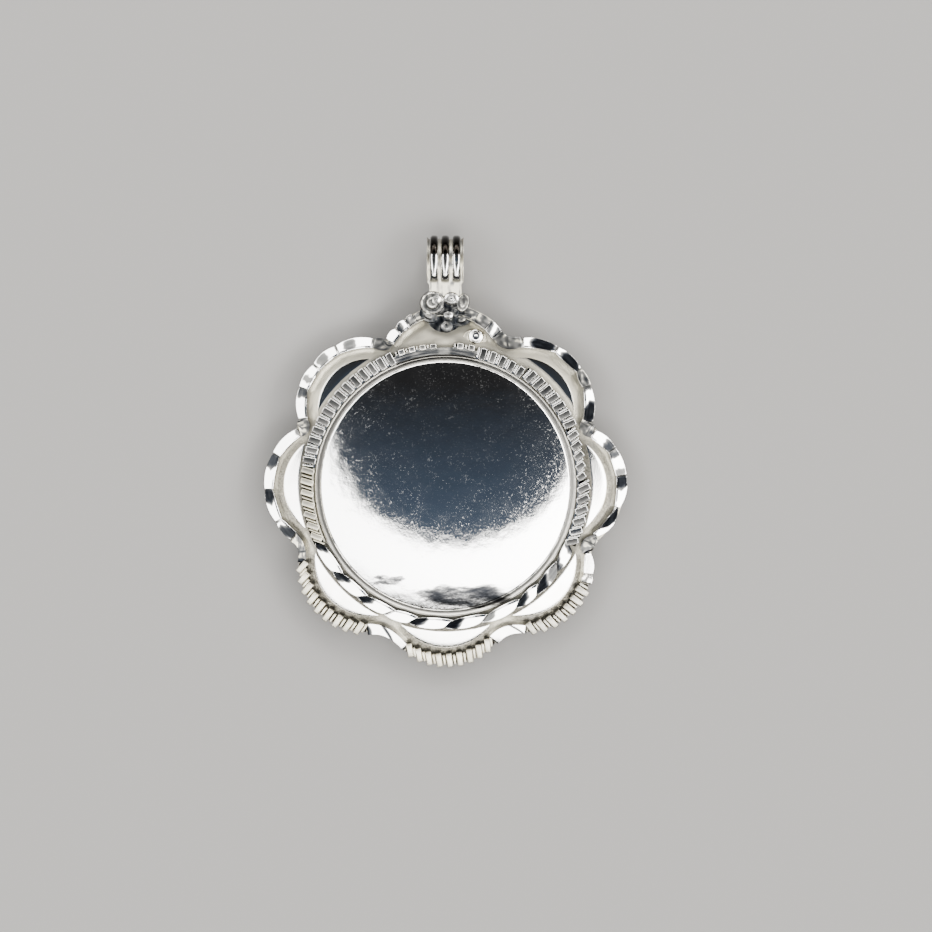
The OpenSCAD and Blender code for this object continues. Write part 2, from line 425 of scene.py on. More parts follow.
# The disc's mirror finish: a haze, fine pocks in drifts, two smudges and a few faint scratches.
# Their middles and sizes are in millimetres on the disc.
mirror = {
    "rim": (0.8, 0.775, 0.7, 1),
    "bright": (0.95, 0.95, 0.94, 1),
    "rough": (0.07, 0.11),
    "rimRough": 0.29,
    "haze": 380.0,
    "sway": 520.0,          # slow unevenness that makes the edges of reflections wander
    "grain": 4200.0,
    "drift": 330.0,
    "pocks": table("scale from to deep", (1700.0, 0.63, 0.72, 0.75), (4000.0, 0.59, 0.70, 0.8)),
    "marksRough": 0.17,
    "smudges": table(
        "at half scale dense",
        ((2.7, -14.5), (8.6, 2.1), 800.0, 0.17),
        ((-7.6, -12.6), (3.4, 1.3), 1300.0, 0.0),
    ),
    "smudgeDrawn": 0.3,     # smudges are drawn out sideways to this share of their pattern
    "smudgeKeeps": 0.004,   # share of the light that the densest smudge still returns
    "scratches": table(
        "at long turn wide",
        ((-2.3, 3.0), 9.5, 96, 0.04),
        ((3.0, 4.7), 2.2, 2, 0.04),
        ((-7.5, 2.0), 5.0, 38, 0.03),
        ((6.5, -2.5), 4.0, 118, 0.03),
    ),
    "scratchDeep": 0.35,
}


# Coordinates that are centred on a spot of the disc
def spotAt(where, at, **settings):
    at = layDown @ Vector((at[0], at[1], 0))
    node = addNode("Mapping", vector_type="TEXTURE", Vector=where, Location=(at.x, at.y, 0), **settings)
    return node.outputs["Vector"]


def scratchMark(where, scratch):
    local = spotAt(where, scratch["at"], Rotation=(0, 0, math.radians(scratch["turn"])))
    split = addNode("SeparateXYZ", Vector=local)
    half = scratch["long"] / 2000
    thin = remap(calc("ABSOLUTE", split.outputs["Y"]), 0, scratch["wide"] / 1000, 1, 0)
    ends = remap(calc("ABSOLUTE", split.outputs["X"]), half * 0.6, half, 1, 0)
    return calc("MULTIPLY", thin, ends)


# How much a smudge hides: a soft film, drawn out sideways inside an oval
def smudgeMark(where, smudge):
    local = spotAt(where, smudge["at"], Scale=(smudge["half"][0] / 1000, smudge["half"][1] / 1000, 1))
    reach = addNode("VectorMath", operation="LENGTH", Vector=local).outputs["Value"]
    inside = remap(reach, 0.5, 1.1, smudge["dense"], -0.4)
    drawn = addNode("Mapping", Vector=where, Scale=(mirror["smudgeDrawn"], 1, 1)).outputs["Vector"]
    film = calc("ADD", grainAt(drawn, smudge["scale"], 5.0, 0.7), inside)
    return calc("SUBTRACT", 1.0, calc("POWER", mirror["smudgeKeeps"], remap(film, 0.42, 0.76)))


def pockMark(where, pock, drift):
    speck = grainAt(where, pock["scale"], 2.0, 0.6, Distortion=0.4)
    return calc("MULTIPLY", remap(speck, pock["from"], pock["to"], 0.0, pock["deep"]), drift)


def mirrorSilver(name):
    material, sockets = newMaterial(name)
    feed(sockets["Metallic"], 1.0)
    where = addNode("TexCoord").outputs["Object"]
    polish = painted("polish")
    haze = grainAt(where, mirror["haze"], 5.0, 0.65)
    sway = grainAt(where, mirror["sway"], 3.0, 0.55)
    grain = grainAt(where, mirror["grain"], 3.0, 0.7)
    inDrift = remap(grainAt(where, mirror["drift"], 3.0, 0.6), 0.36, 0.56, 0.25, 1.0)
    pocks = highest([pockMark(where, pock, inDrift) for pock in mirror["pocks"]])
    lines = highest([scratchMark(where, scratch) for scratch in mirror["scratches"]])
    marked = calc("MAXIMUM", pocks, calc("MULTIPLY", lines, mirror["scratchDeep"]))
    worn = calc("MULTIPLY", marked, mirror["marksRough"])
    worn = calc("ADD", remap(haze, 0.4, 0.75, *mirror["rough"]), worn)
    toRim = calc("MULTIPLY", calc("SUBTRACT", 1.0, polish), mirror["rimRough"])
    feed(sockets["Roughness"], calc("MAXIMUM", worn, toRim))
    tone = blendColour(polish, mirror["rim"], mirror["bright"])
    smudged = highest([smudgeMark(where, smudge) for smudge in mirror["smudges"]])
    tone = blendColour(smudged, tone, silverLook["shadeTones"][-1][1])
    # the soot and painted shade on the disc's rim and at its edges
    feed(sockets["Base Color"], blendColour(painted("soot"), tone, silverLook["soot"]))
    fine = addNode("Bump", Strength=0.22, Distance=0.00002, Height=grain).outputs["Normal"]
    slow = addNode("Bump", Strength=0.35, Distance=0.00006, Height=sway, Normal=fine).outputs["Normal"]
    pits = addNode("Bump", Strength=0.2, Distance=0.00001, Height=marked, Normal=slow, invert=True)
    feed(sockets["Normal"], pits.outputs["Normal"])
    return material


plateSilver = workedSilver(
    "plate_silver", shine=0.09, dull=0.42, grainBump=0.2, mottleShare=0.35, tarnish=0.35,
)
cutSilver = workedSilver("cut_silver", shine=0.13, dull=0.32, grainBump=0.1, mottleShare=0.2, tarnish=0.1)
milledSilver = workedSilver("milled_silver", shine=0.17, dull=0.38, grainBump=0.25, mottleShare=0.5)
bailSilver = workedSilver("bail_silver", shine=0.13, dull=0.42, grainBump=0.25, mottleShare=0.3)
rosetteSilver = workedSilver("rosette_silver", shine=0.16, dull=0.4, grainBump=0.25, mottleShare=0.4)
discSilver = mirrorSilver("disc_silver")
print("materials made")

# The petal plate: from the ring outwards, each petal has a dull apron, a polished pillow and then a
# matte band beside its strip. The petal under the rosette is matte all over. The table goes round from
# the petal at +X: how wide a petal's band and apron are, how much higher it stands beside the ring, and
# how much grey painted shade and how much warm dark painted shade its matte parts get.
plate = {
    "columns": 384,
    "rows": {"underStrip": 4, "seam": 2, "band": 6, "pillow": 14, "apron": 3, "underRing": 4},
    "petals": table(
        "band apron raised shade soot",
        (1.1, 0, 0.085, 0.03, 0.64),
        (1.25, 0.9, 0, 0.02, 0),
        (0.95, 0, 0, 0.045, 0),
        (1.4, 0.45, 0, 0.03, 0),
        (1.0, 0, 0.06, 0.03, 0.66),
        (0.85, 0, 0, 0.03, 0.72),
        (0.85, 0, 0, 0.03, 0.68),
        (0.85, 0, 0, 0.03, 0.71),
    ),
    "plainPetal": 90,
    "pillowHigh": 0.05,
    "pillowFull": 1.5,      # a pillow as long as this has its full height
    "pillowShine": (-0.02, 0.13, 0.9, 1.06),
    "ringR": 18.95,
    "innerR": 12,
    "seam": 0.24,           # a line along the foot of each strip
    # soot and painted shade along the foot of each strip
    "seamSootAndShade": 0.4,
    "gapR": 17.7,           # inside this the sheet lies in the gap beside the disc
    # painted shade down in that gap
    "gapShade": 0.6,
    "apronPolish": 0.35,
    "apronFull": 15,        # degrees from a petal's middle within which its apron has its full width
    "valleyFrom": 16,       # degrees from a petal's middle where the look of the valleys starts
    # the valleys' grey painted shade, and their soot and painted shade
    "valleyShade": 0.06,
    "valleySootAndShade": 0.15,
}


def petalArc(r, away):
    a = math.radians(away)
    reach = r * r - (sheet["petalOut"] * math.sin(a)) ** 2
    return sheet["petalOut"] * math.cos(a) + math.sqrt(max(0, reach))


def makePlate():
    knots = list(plate["rows"].values())
    piece = circleRows("petal_plate", plate["columns"], sum(knots) + 1)
    ringR = plate["ringR"]

    def lay(p):
        angle = math.degrees(math.atan2(p.y, p.x)) % 360
        away = abs((angle + halfPitch) % petalPitch - halfPitch)
        petal = plate["petals"][round(angle / petalPitch) % 8]
        plain = abs(angle - plate["plainPetal"]) < halfPitch
        wide = petal["apron"]
        # the rows keep a little apart where the petal narrows
        edge = petalArc(sheet["petalR"] - sheet["inset"], away)
        foot = max(ringR + 0.35, petalArc(stripFoot + 0.05, away))
        seam = foot - plate["seam"]
        pillow = max(ringR + 0.02, petalArc(stripFoot - petal["band"], away))
        apron = ringR + wide * smooth(halfPitch, plate["apronFull"], away)
        apron = max(ringR + 0.005, min(apron, pillow - 0.01))
        stops = [edge, foot, seam, min(pillow, seam - 0.04), apron, ringR, plate["innerR"]]
        row, part = round(p.z), 0
        while row > knots[part]:
            row -= knots[part]
            part += 1
        t = row / knots[part]
        r = mix(stops[part], stops[part + 1], t)
        z = flatTop - max(0, r - sheet["brimR"]) * fall
        if part >= 3 and not plain:
            inside = (2 * t - 1 if wide else min(0, 2 * t - 1)) if part == 3 else (1 if wide else 0)
            rise = plate["pillowHigh"] * (1 - inside ** 4) + petal["raised"] * (t if part == 3 else 1)
            z += rise * min(1, (stops[3] - stops[4]) / plate["pillowFull"])
        polish = 0.0
        if part >= 3 and not plain:
            ends = within(plate["pillowShine"], t) if part == 3 else 0
            brim = smooth(sheet["brimR"] - 0.05, sheet["brimR"] + 0.08, r)
            polish = mix(plate["apronPolish"], 1.0, brim * ends)
        # Painted shade on the matte parts: grey, warm and dark beside some strips, soot and painted shade
        # under the strips and at their feet, and painted shade down in the gap beside the disc
        inValley = smooth(plate["valleyFrom"], halfPitch, away)
        cloud = noise.noise(Vector((angle * 0.16, r * 1.5, 2)))
        shade = mix(petal["shade"], plate["valleyShade"], inValley) + 0.06 * cloud
        soot = mix(petal["soot"], plate["valleySootAndShade"], inValley)
        if part <= 1:
            soot = plate["seamSootAndShade"]
        elif r < plate["gapR"]:
            soot = plate["gapShade"]
        elif plain or polish > 0.6:
            soot = 0.0
        place = polar(r, angle)
        return Vector((place.x, place.y, z)), polish, soot, 0.0 if polish > 0.6 else max(0, shade)

    mould(piece, lay)
    editAll(piece)
    bpy.ops.mesh.normals_make_consistent(inside=False)
    leaveEdit()
    if sum(f.normal.z * f.area for f in piece.data.polygons) < 0:
        flipFaces(piece)
    thicken(piece, sheet["thick"])
    bevel(piece, 0.12, 2, 50)
    finish(piece, plateSilver)


makePlate()

# Cut strip. A facet starts at each row of a run and ends at the next row's angle, which is measured
# round the petal's own middle. A row holds the angle and how far the outer and the inner edge draw
# in there, and may add how much more the facet leans than usual, how polished it is and how much grey
# painted shade it has. A flatter stretch mirrors the dark and has a painted dark reflection: from, to,
# how much, how much later it starts outside.
petals = table(
    "direction run flatter",
    (0, [(-51.5, 1.0, 0.05), (-20, 0.7, 0.4), (8.2, 0.1, 0.2), (32.2, 0.15, 0.35), (55, 0.5, 0)],
     [(-40, -20, 0.95, 13), (-2, 10, 0.85, 2), (8, 15.5, 0.3, 0), (26, 32.2, 0.62, -1.5),
      (33, 41.5, 0.75, 0)]),
    (45, [(-57, 0.25, 0.1), (-27, 0.2, 0.4, -8, 0.45, 0.3), (-11, 0.35, 0.5), (15.5, 0.3, 0.5),
          (46, 0.3, 0.1)],
     [(-60, -40, 0.85, 6), (-29, -25.5, 0.7, 2), (-10.5, 9.5, 1, 0), (17, 39, 1, 0)]),
    (90, [(-52, 0.1, 0), (-41, 0, 0.1, -6, 0.35, 0.22), (-28, 0.1, 0.1, -6, 0.2, 0.25),
          (28, 0.5, 0, -3, 0.5, 0.2), (36, 0.5, 0, 0, 0.9, 0), (46.5, 0.55, 0.1), (59, 0.5, 0.1)],
     [(-54, -50, 0.7, 5), (-44, -40.5, 0.7, 4), (34, 37.5, 0.7, 0), (41.5, 47, 0.75, -1)]),
    (135, [(-50, 0.35, 0.1), (-17.5, 0.4, 0.1), (6.2, 0.45, 0.1), (28.5, 0.2, 0.25), (55, 0.5, 0.1)],
     [(-35, -24.5, 0.36, 0), (-7.5, 2, 0.3, 0), (15.5, 22.5, 0.2, 0), (26.5, 35.5, 0.62, 0)]),
    (180, [(-57, 0.4, 0.1), (-27.5, 0.2, 0.3), (3.6, 0.2, 0.3), (32, 0.4, 0.35), (51, 0.35, 0)],
     [(-58, -54.5, 0.3, 0), (-30.3, -16.3, 0.72, 3), (1.5, 14.8, 0.82, 0), (38, 53, 0.72, -9)]),
)
facet = {
    "along": 48, "across": 12,
    "crest": 0.85,         # height of a facet's middle, as a share of the strip's
    "notch": 0.14, "notchWide": 0.22, "notchShade": 0.4,
    "crumple": 0.5,        # how uneven the painted shade of the grey facets is
    "oval": 0.34,          # how much shorter a flatter stretch is at its edges
    "lip": 0.14,           # a narrow slope along the inner edge, towards the petal's middle
    "flatter": 9.5, "edge": 0.07, "in": 0.03,
}
facetBlock = gridBlock("facet_block", facet["along"], facet["across"])


# How far the strips lean outwards: more on the side of the bail than on the other
def leanAt(direction):
    return 20.8 + 11 * math.sin(math.radians(direction)) + 1.2 * math.cos(math.radians(direction))


def flatterAt(stretches, angle, out, soft, wander=0):
    most = 0
    for start, end, much, later in stretches:
        turned = angle - later * (out - 0.5) + wander
        drawn = facet["oval"] * (end - start) / 2 * (2 * out - 1) ** 2
        here = smooth(start + drawn - soft, start + drawn + soft, turned)
        here -= smooth(end - drawn - soft, end - drawn + soft, turned)
        most = max(most, much * here)
    return most


def flattened(lean, share):
    return math.tan(math.radians(lean - facet["flatter"] * smooth(0.62, 0.85, share)))


def notchAt(near):
    return facet["notch"] * (1 - smooth(0, facet["notchWide"], near))


# The painted shade of a grey facet: uneven, and never lighter than its painted dark reflection
def crumpledShade(share, greyShade, spot):
    return max(share, greyShade + facet["crumple"] * noise.noise(Vector(spot)))


def cutStrip(centre, direction, run, flatter, inner, outer, slant=0, soft=2.4, ease=2.2):
    parts = []
    middle = (inner + outer) / 2
    for row, end in zip(run, run[1:]):
        # a stretch belongs to the facet that holds most of it
        own = [s for s in flatter if min(end[0], s[1]) - max(row[0], s[0]) >= (s[1] - s[0]) / 2]
        start, drawn, waist, lean, polish, greyShade = row if len(row) > 3 else row + (0, 1, 0)
        part = copyOf(facetBlock)

        def place(p):
            # the columns stand closer together near the ridges
            t = p.x - 0.1 * math.sin(2 * math.pi * p.x)
            turn = mix(start, end[0], t)
            angle = turn + slant * (0.5 - p.y)
            fromStart, fromEnd = (1 - t) ** ease, t ** ease
            low = inner + waist * fromStart + end[2] * fromEnd
            high = outer - facet["in"] - drawn * fromStart - end[1] * fromEnd
            r = mix(low, high, p.y)
            spot = polar(r, direction + angle, centre)
            if p.z < 0.5:
                return overSheet(spot), polish, 0, greyShade
            wander = soft * noise.noise(Vector((turn * 0.15, p.y * 3, direction + 5)))
            share = flatterAt(own, turn, p.y, soft, wander)
            rise = strip["height"] * facet["crest"]
            tilted = leanAt(direction + angle) + lean
            rise -= (max(r, low + facet["lip"]) - middle) * flattened(tilted, share)
            lipLean = math.radians(leanAt(direction + angle + 180))
            rise -= max(0, low + facet["lip"] - r) * math.tan(lipLean)
            near = min(t, 1 - t) * math.radians(end[0] - start) * middle
            rise -= notchAt(near)
            base = sheetTop(polar(middle, direction + angle, centre))
            # Painted shade: a dark reflection over the flatter stretches, an uneven grey on grey facets and
            # a dark line in the outer half of each ridge's notch, all left off near the edges
            if greyShade > 0:
                shade = crumpledShade(share, greyShade, (turn * 0.22, p.y * 3.5, direction))
            else:
                shade = share * (1 + 0.35 * noise.noise(Vector((turn * 0.08, p.y * 6, direction))))
            cut = facet["notchShade"] * smooth(0.35, 0.6, p.y) * (1 - smooth(0.02, 0.12, near))
            onLip = smooth(0.02, 0.13, r - low) * smooth(0.0, 0.12, high - r)
            return Vector((spot.x, spot.y, base + rise)), polish, 0, max(shade, cut) * onLip

        mould(part, place)
        parts.append(part)
    return parts


def finishCut(parts, name, centre, foot):
    piece = joined(parts, name)
    bevel(piece, facet["edge"], 2, 42)

    # painted shade low down on the inner side of the strip, by the sheet
    def footShade(p):
        inside = math.hypot(p.x - centre[0], p.y - centre[1]) < foot + 0.5
        return 1 - smooth(0.2, 0.7, p.z - sheetTop(p)) if inside else 0.0

    paint(piece, "soot", footShade)
    finish(piece, cutSilver)


# The strips of two petals run into each other in the valley between them, drawn out and twisted. Going
# round from the petal at +X: where the bridge after a petal starts and ends, how near the middle its
# bend lies, how wide it is at its start, middle and end, how much more it leans than usual, how
# polished it is and how much grey painted shade it has, and its flatter stretches, which are painted
# with a dark reflection, as shares of its length
bridges = table(
    "from to bend wide lean polish shade flatter",
    (55, -57, 19.6, (1.35, 2.0, 1.5), -10, 0.35, 0.26, [(0.3, 0.36, 0.62, 0.1), (0.7, 0.76, 0.55, -0.2)]),
    (46, -52, 19.8, (1.4, 1.7, 1.5), -10, 0.35, 0.26, [(0.45, 0.5, 0.65, 0.15)]),
    (59, -50, 19.7, (1.1, 1.6, 1.3), -10, 0.35, 0.26, [(0.3, 0.4, 0.62, 0.5), (0.6, 0.7, 0.62, -0.5)]),
    (55, -57, 19.6, (1.3, 1.7, 1.5), -6, 0.3, 0.16, [(-0.1, 0.08, 0.6, 0), (0.5, 0.56, 0.5, 0.3)]),
    (51, -46, 19.9, (1.4, 1.0, 1.1), 0, 0.15, 0.1,
     [(0.28, 0.33, 0.6, 0.5), (0.62, 0.68, 0.7, 0), (0.86, 1.1, 0.8, 0)]),
    (44.5, -37, 19.9, (1.5, 1.1, 0.8), 0, 0.9, 0, [(-0.1, 0.09, 0.6, 0.1), (0.48, 0.58, 0.65, 0.3)]),
    (47, -42, 19.9, (1.5, 1.25, 1.0), 0, 0.9, 0, [(-0.1, 0.03, 0.4, 0), (0.74, 0.8, 0.5, 0.3)]),
    (55.5, -51.5, 19.7, (1.2, 1.8, 0.7), -8, 0.4, 0.2, [(-0.1, 0.14, 0.9, 0.1), (0.6, 0.66, 0.6, 0.2)]),
)


def bridgeAfter(direction):
    bridge = bridges[direction // petalPitch]
    valley, onward = direction + halfPitch, direction + petalPitch
    start = polar(stripMiddle, direction + bridge["from"], polar(sheet["petalOut"], direction))
    end = polar(stripMiddle, onward + bridge["to"], polar(sheet["petalOut"], onward))
    bend = polar(bridge["bend"], valley)
    long = (bend - start).length + (end - bend).length
    first, mid, last = bridge["wide"]
    greyShade = bridge["shade"]

    def place(p):
        t = p.x
        spine = start * (1 - t) ** 2 + bend * (2 * t * (1 - t)) + end * t ** 2
        run = (bend - start) * (1 - t) + (end - bend) * t
        side = Vector((run.y, -run.x)).normalized()
        width = first * (1 - t) * (1 - 2 * t) + 4 * mid * t * (1 - t) + last * t * (2 * t - 1)
        across = width * (p.y - 0.5)
        spot = spine + side * across
        if p.z < 0.5:
            return overSheet(spot), bridge["polish"], 0, greyShade
        share = flatterAt(bridge["flatter"], t, p.y, 0.04)
        lean = leanAt(math.degrees(math.atan2(side.y, side.x))) + bridge["lean"]
        rise = strip["height"] * facet["crest"] - across * flattened(lean, share)
        rise -= notchAt(min(t, 1 - t) * long)
        # painted shade: a dark reflection over the flatter stretches, and an uneven grey on grey bridges
        shade = crumpledShade(share, greyShade, (t * 5.5, p.y * 3.5, valley)) if greyShade > 0 else share
        return Vector((spot.x, spot.y, sheetTop(spine) + rise)), bridge["polish"], 0, shade

    part = copyOf(facetBlock)
    mould(part, place)
    return part


for n, petal in enumerate(petals):
    direction = petal["direction"]
    centre = polar(sheet["petalOut"], direction)
    parts = cutStrip(centre, direction, petal["run"], petal["flatter"], stripFoot, sheet["petalR"])
    parts.append(bridgeAfter(direction))
    finishCut(parts, "cut_petal_strip_%d" % (n + 1), centre, stripFoot)

# The cut length of the ring, under the disc: most facets start with a flatter corner on a slant, which has a
# painted dark reflection
cutRun = {
    "run": [(205, 0.3, 0.3), (219, 0.35, 0.35), (233.3, 0.35, 0.35), (246.3, 0.25, 0.25),
            (256.8, 0.35, 0.35), (271.5, 0.35, 0.35), (286.6, 0.45, 0.45), (302, 0.45, 0.45),
            (312, 0.3, 0.35), (324.6, 0.4, 0.3), (334.6, 0.2, 0.1)],
    "flatter": [(202, 208, 0.85, 0), (216, 223.4, 0.9, 0), (230, 237.4, 0.9, 0), (255, 261, 0.95, 0),
                (270, 277, 0.95, 0), (285, 290.5, 0.35, 0), (298, 306.5, 0.95, 0), (311, 317.6, 0.95, 0),
                (318.5, 324.6, 0.4, 0), (324, 326.5, 0.8, 0), (332.8, 336, 0.85, 0)],
    "inner": ring["inner"], "outer": ring["inner"] + ring["width"],
    "slant": 3.6, "soft": 1.3, "ease": 4,
}
finishCut(cutStrip((0, 0), 0, **cutRun), "cut_ring_strip", (0, 0), ring["inner"])

# Milled strip: bars on a low bed, wide and narrow by turns. Each bar is a bevelled block.
barSizes = {
    "finger": {"longer": 0.18, "width": 0.8, "top": 1.25, "round": 0.15, "shift": -0.06},
    "between": {"longer": -0.32, "width": 0.36, "top": 1.1, "round": 0.11, "shift": -0.12},
    "slab": {"longer": 0.04, "width": 0.84, "top": 1.25, "round": 0.12},
    "thin": {"longer": -0.1, "width": 0.26, "top": 1.12, "round": 0.09},
}
barDeep = 0.9
barAt = {"wide": 0.32, "narrow": 0.82}      # where the two bars stand, as shares of their pitch
bedTop = 0.55
sootAndShadeDepth = {"top": 0.95, "deep": 0.6}
milledPitch = 1.38
outwardSlope = 13
bedBlock = gridBlock("bed_block", 40, 2)


def makeBar(kind, long, width=None):
    size = barSizes[kind]
    deselectAll()
    bpy.ops.mesh.primitive_cube_add(size=1)
    bar = named(kind + "_bar")
    editAll(bar)
    bpy.ops.transform.resize(value=(long + size["longer"], width or size["width"], barDeep))
    bpy.ops.transform.translate(value=(0, 0, -barDeep / 2))
    leaveEdit()
    bevel(bar, size["round"], 3, 60)
    return bar


def bedStrip(centre, start, end, inner, outer, top=bedTop):
    part = copyOf(bedBlock)

    def place(p):
        spot = polar(mix(inner, outer, p.y), mix(start, end, p.x), centre)
        return overSheet(spot, top) if p.z > 0.5 else overSheet(spot)

    shape(part, place)
    return part


def putBar(bar, centre, r, angle, turn, top, slope=0):
    part = copyOf(bar)
    part.matrix_world = (
        Matrix.Translation(overSheet(polar(r, angle, centre), top))
        @ Matrix.Rotation(math.radians(turn), 4, "Z")
        @ Matrix.Rotation(math.radians(slope), 4, "Y")
    )
    only(part)
    bpy.ops.object.transform_apply(location=True, rotation=True, scale=True)
    return part


# Soot and painted shade low down between the bars, full below one depth and gone above another
def grooveSootAndShade(p):
    return 1 - smooth(sootAndShadeDepth["deep"], sootAndShadeDepth["top"], p.z - sheetTop(p))


# Petals with milled strips: where their bars start and end, how many there are, which way the first
# and the last bar point, how much grey painted shade their tops get, and the facets after them
milledPetals = table(
    "direction from to count turnFrom turnTo shade facets",
    (225, -45.5, 44, 9, 229, 237, 0, []),
    (270, -36, 46.5, 9, 281, 276, 0, []),
    (315, -41, 26.5, 7, 305, 328, 0.08,
     [(27.5, 0.2, 0.15, 0, 0.6, 0.05), (35.5, 0.3, 0.2, 0, 0.9, 0), (55, 0.6, 0.4)]),
)
fingerPolish = 0.35

for n, petal in enumerate(milledPetals):
    direction = petal["direction"]
    centre = polar(sheet["petalOut"], direction)
    first, last = direction + petal["from"], direction + petal["to"]
    parts = [bedStrip(centre, first, last, stripFoot + 0.05, sheet["petalR"] - 0.45)]
    finger = makeBar("finger", strip["width"])
    between = makeBar("between", strip["width"])
    for i in range(petal["count"]):
        for bar, kind, share in ((finger, "finger", barAt["wide"]), (between, "between", barAt["narrow"])):
            t = (i + share) / petal["count"]
            turn = mix(petal["turnFrom"], petal["turnTo"], t)
            r = stripMiddle + barSizes[kind]["shift"]
            top = barSizes[kind]["top"]
            parts.append(putBar(bar, centre, r, mix(first, last, t), turn, top, outwardSlope))
    bars = joined(parts, "bars")
    # grey painted shade on the bars' tops, and soot and painted shade low in the grooves
    paint(bars, "shade", lambda p: petal["shade"] if p.z - sheetTop(p) > 0.9 else 0.0)
    paint(bars, "polish", lambda p: fingerPolish)
    paint(bars, "soot", grooveSootAndShade)
    parts = [bars] + cutStrip(centre, direction, petal["facets"], [], stripFoot, sheet["petalR"])
    parts.append(bridgeAfter(direction))
    piece = joined(parts, "milled_petal_strip_%d" % (n + 1))
    remove(finger, between)
    finish(piece, milledSilver)

# The milled lengths of the ring: how far out each sits, how much slimmer than the ring it is at its
# start and end, how its bars slant there, how polished they are and how much grey painted shade their
# tops get, and how much lower its thin bars lie than usual. The last length has slimmer broad bars.
milledRuns = table(
    "from to out slim slant polish shade low broad",
    (-25, 2.3, 0, (0, 0), (34, 26), 0.85, 0.2, 0),
    (2.8, 24.8, 0, (0.55, 0.15), (32, 12), 0.9, 0.25, 0),
    (25.4, 55, 0.1, (0, 0), (-4, -8), 0.95, 0.3, 0),
    (55.6, 77, -0.05, (0.3, 0.1), (0, 0), 0.95, 0.3, 0),
    (77.8, 87, 0.8, (0.95, 0.9), (0, 0), 0.6, 0.1, 0.1),
    (93.5, 111, 0.8, (1.05, 0.9), (0, 0), 0.6, 0.1, 0.1),
    (111.8, 172, 0, (0, 0), (6, 0), 0.95, 0.25, 0),
    (172, 204.5, 0, (0, 0), (-8, -46), 0.25, 0.04, 0.18, 0.74),
)
selvage = {"width": 0.2, "top": 1.12}
slope = {
    "from": 75.8, "to": 113, "withRun": 4, "low": 0.5, "high": 0.85,
    "dark": (76, 79, 110, 113), "pale": (87, 89, 92, 94),
}
slopeBlock = gridBlock("slope_block", 60, 10)


# The slope inside the slimmest lengths, which falls towards the disc, with streaky painted shade that is
# paler in the gap between them
def slopeStrip(inner, outer):
    part = copyOf(slopeBlock)

    def place(p):
        angle = mix(slope["from"], slope["to"], p.x)
        spot = polar(mix(inner, outer, p.y), angle)
        if p.z < 0.5:
            return overSheet(spot), 0, 0, 0.5
        dark = within(slope["dark"], angle) * (1 - within(slope["pale"], angle))
        streak = noise.noise(Vector((angle * 0.2, p.y * 4.5, 7)))
        top = overSheet(spot, mix(slope["low"], slope["high"], p.y))
        return top, 0, 0, 0.34 * dark + 0.16 + 0.45 * streak

    mould(part, place)
    return part


for n, run in enumerate(milledRuns):
    inner = ring["inner"] + run["out"]
    first, last = run["from"], run["to"]
    count = round(math.radians(last - first) * (inner + 0.8) / milledPitch)
    slimmest = ring["width"] - max(run["slim"])
    parts = [
        bedStrip((0, 0), first, last, inner + 0.05, inner + slimmest - 0.1),
        bedStrip((0, 0), first, last, inner, inner + selvage["width"], selvage["top"]),
    ]
    for i in range(count):
        width = ring["width"] - mix(*run["slim"], (i + 0.5) / count)
        slab = makeBar("slab", width, run.get("broad"))
        # grey painted shade on each slab's top, a little different from slab to slab
        tone = max(0, run["shade"] + 0.25 * noise.noise(Vector((i * 1.37, n * 3.1, 0))))
        paint(slab, "shade", lambda p: tone if p.z > -0.001 else 0.0)
        thin = makeBar("thin", width)
        thinTop = barSizes["thin"]["top"] - run["low"]
        for bar, top, share in (
            (slab, barSizes["slab"]["top"], barAt["wide"]), (thin, thinTop, barAt["narrow"]),
        ):
            t = (i + share) / count
            angle = mix(first, last, t)
            parts.append(putBar(bar, (0, 0), inner + width / 2, angle, angle + mix(*run["slant"], t), top))
        remove(slab, thin)
    bars = joined(parts, "bars")
    paint(bars, "polish", lambda p: run["polish"])
    paint(bars, "soot", grooveSootAndShade)
    parts = [bars]
    if n == slope["withRun"]:
        parts.append(slopeStrip(ring["inner"], inner + 0.1))
    finish(joined(parts, "milled_ring_strip_%d" % (n + 1)), milledSilver)
remove(facetBlock, bedBlock, slopeBlock)

# The domed disc: a cap of a large sphere in a flat rim, a little uneven from the hammer
disc = {
    "r": 17.13, "domeR": 16.3, "domeH": 2.65, "thick": 0.6, "z": flatTop + 0.05,
    "crown": 0.035,         # how much the rim's middle stands above its sides
    "lineR": 16.95,         # a scored line round the rim
    "dent": 0.012,
    # painted shade on the rim: greyer on the left and dark at the top outside darkFrom
    "greyLeft": (115, 150, 215, 250), "darkTop": (72, 78, 107, 113),    # shades of its rim
    "darkFrom": 16.7,
    "columns": 256, "rimRows": 10, "domeRows": 84,
}


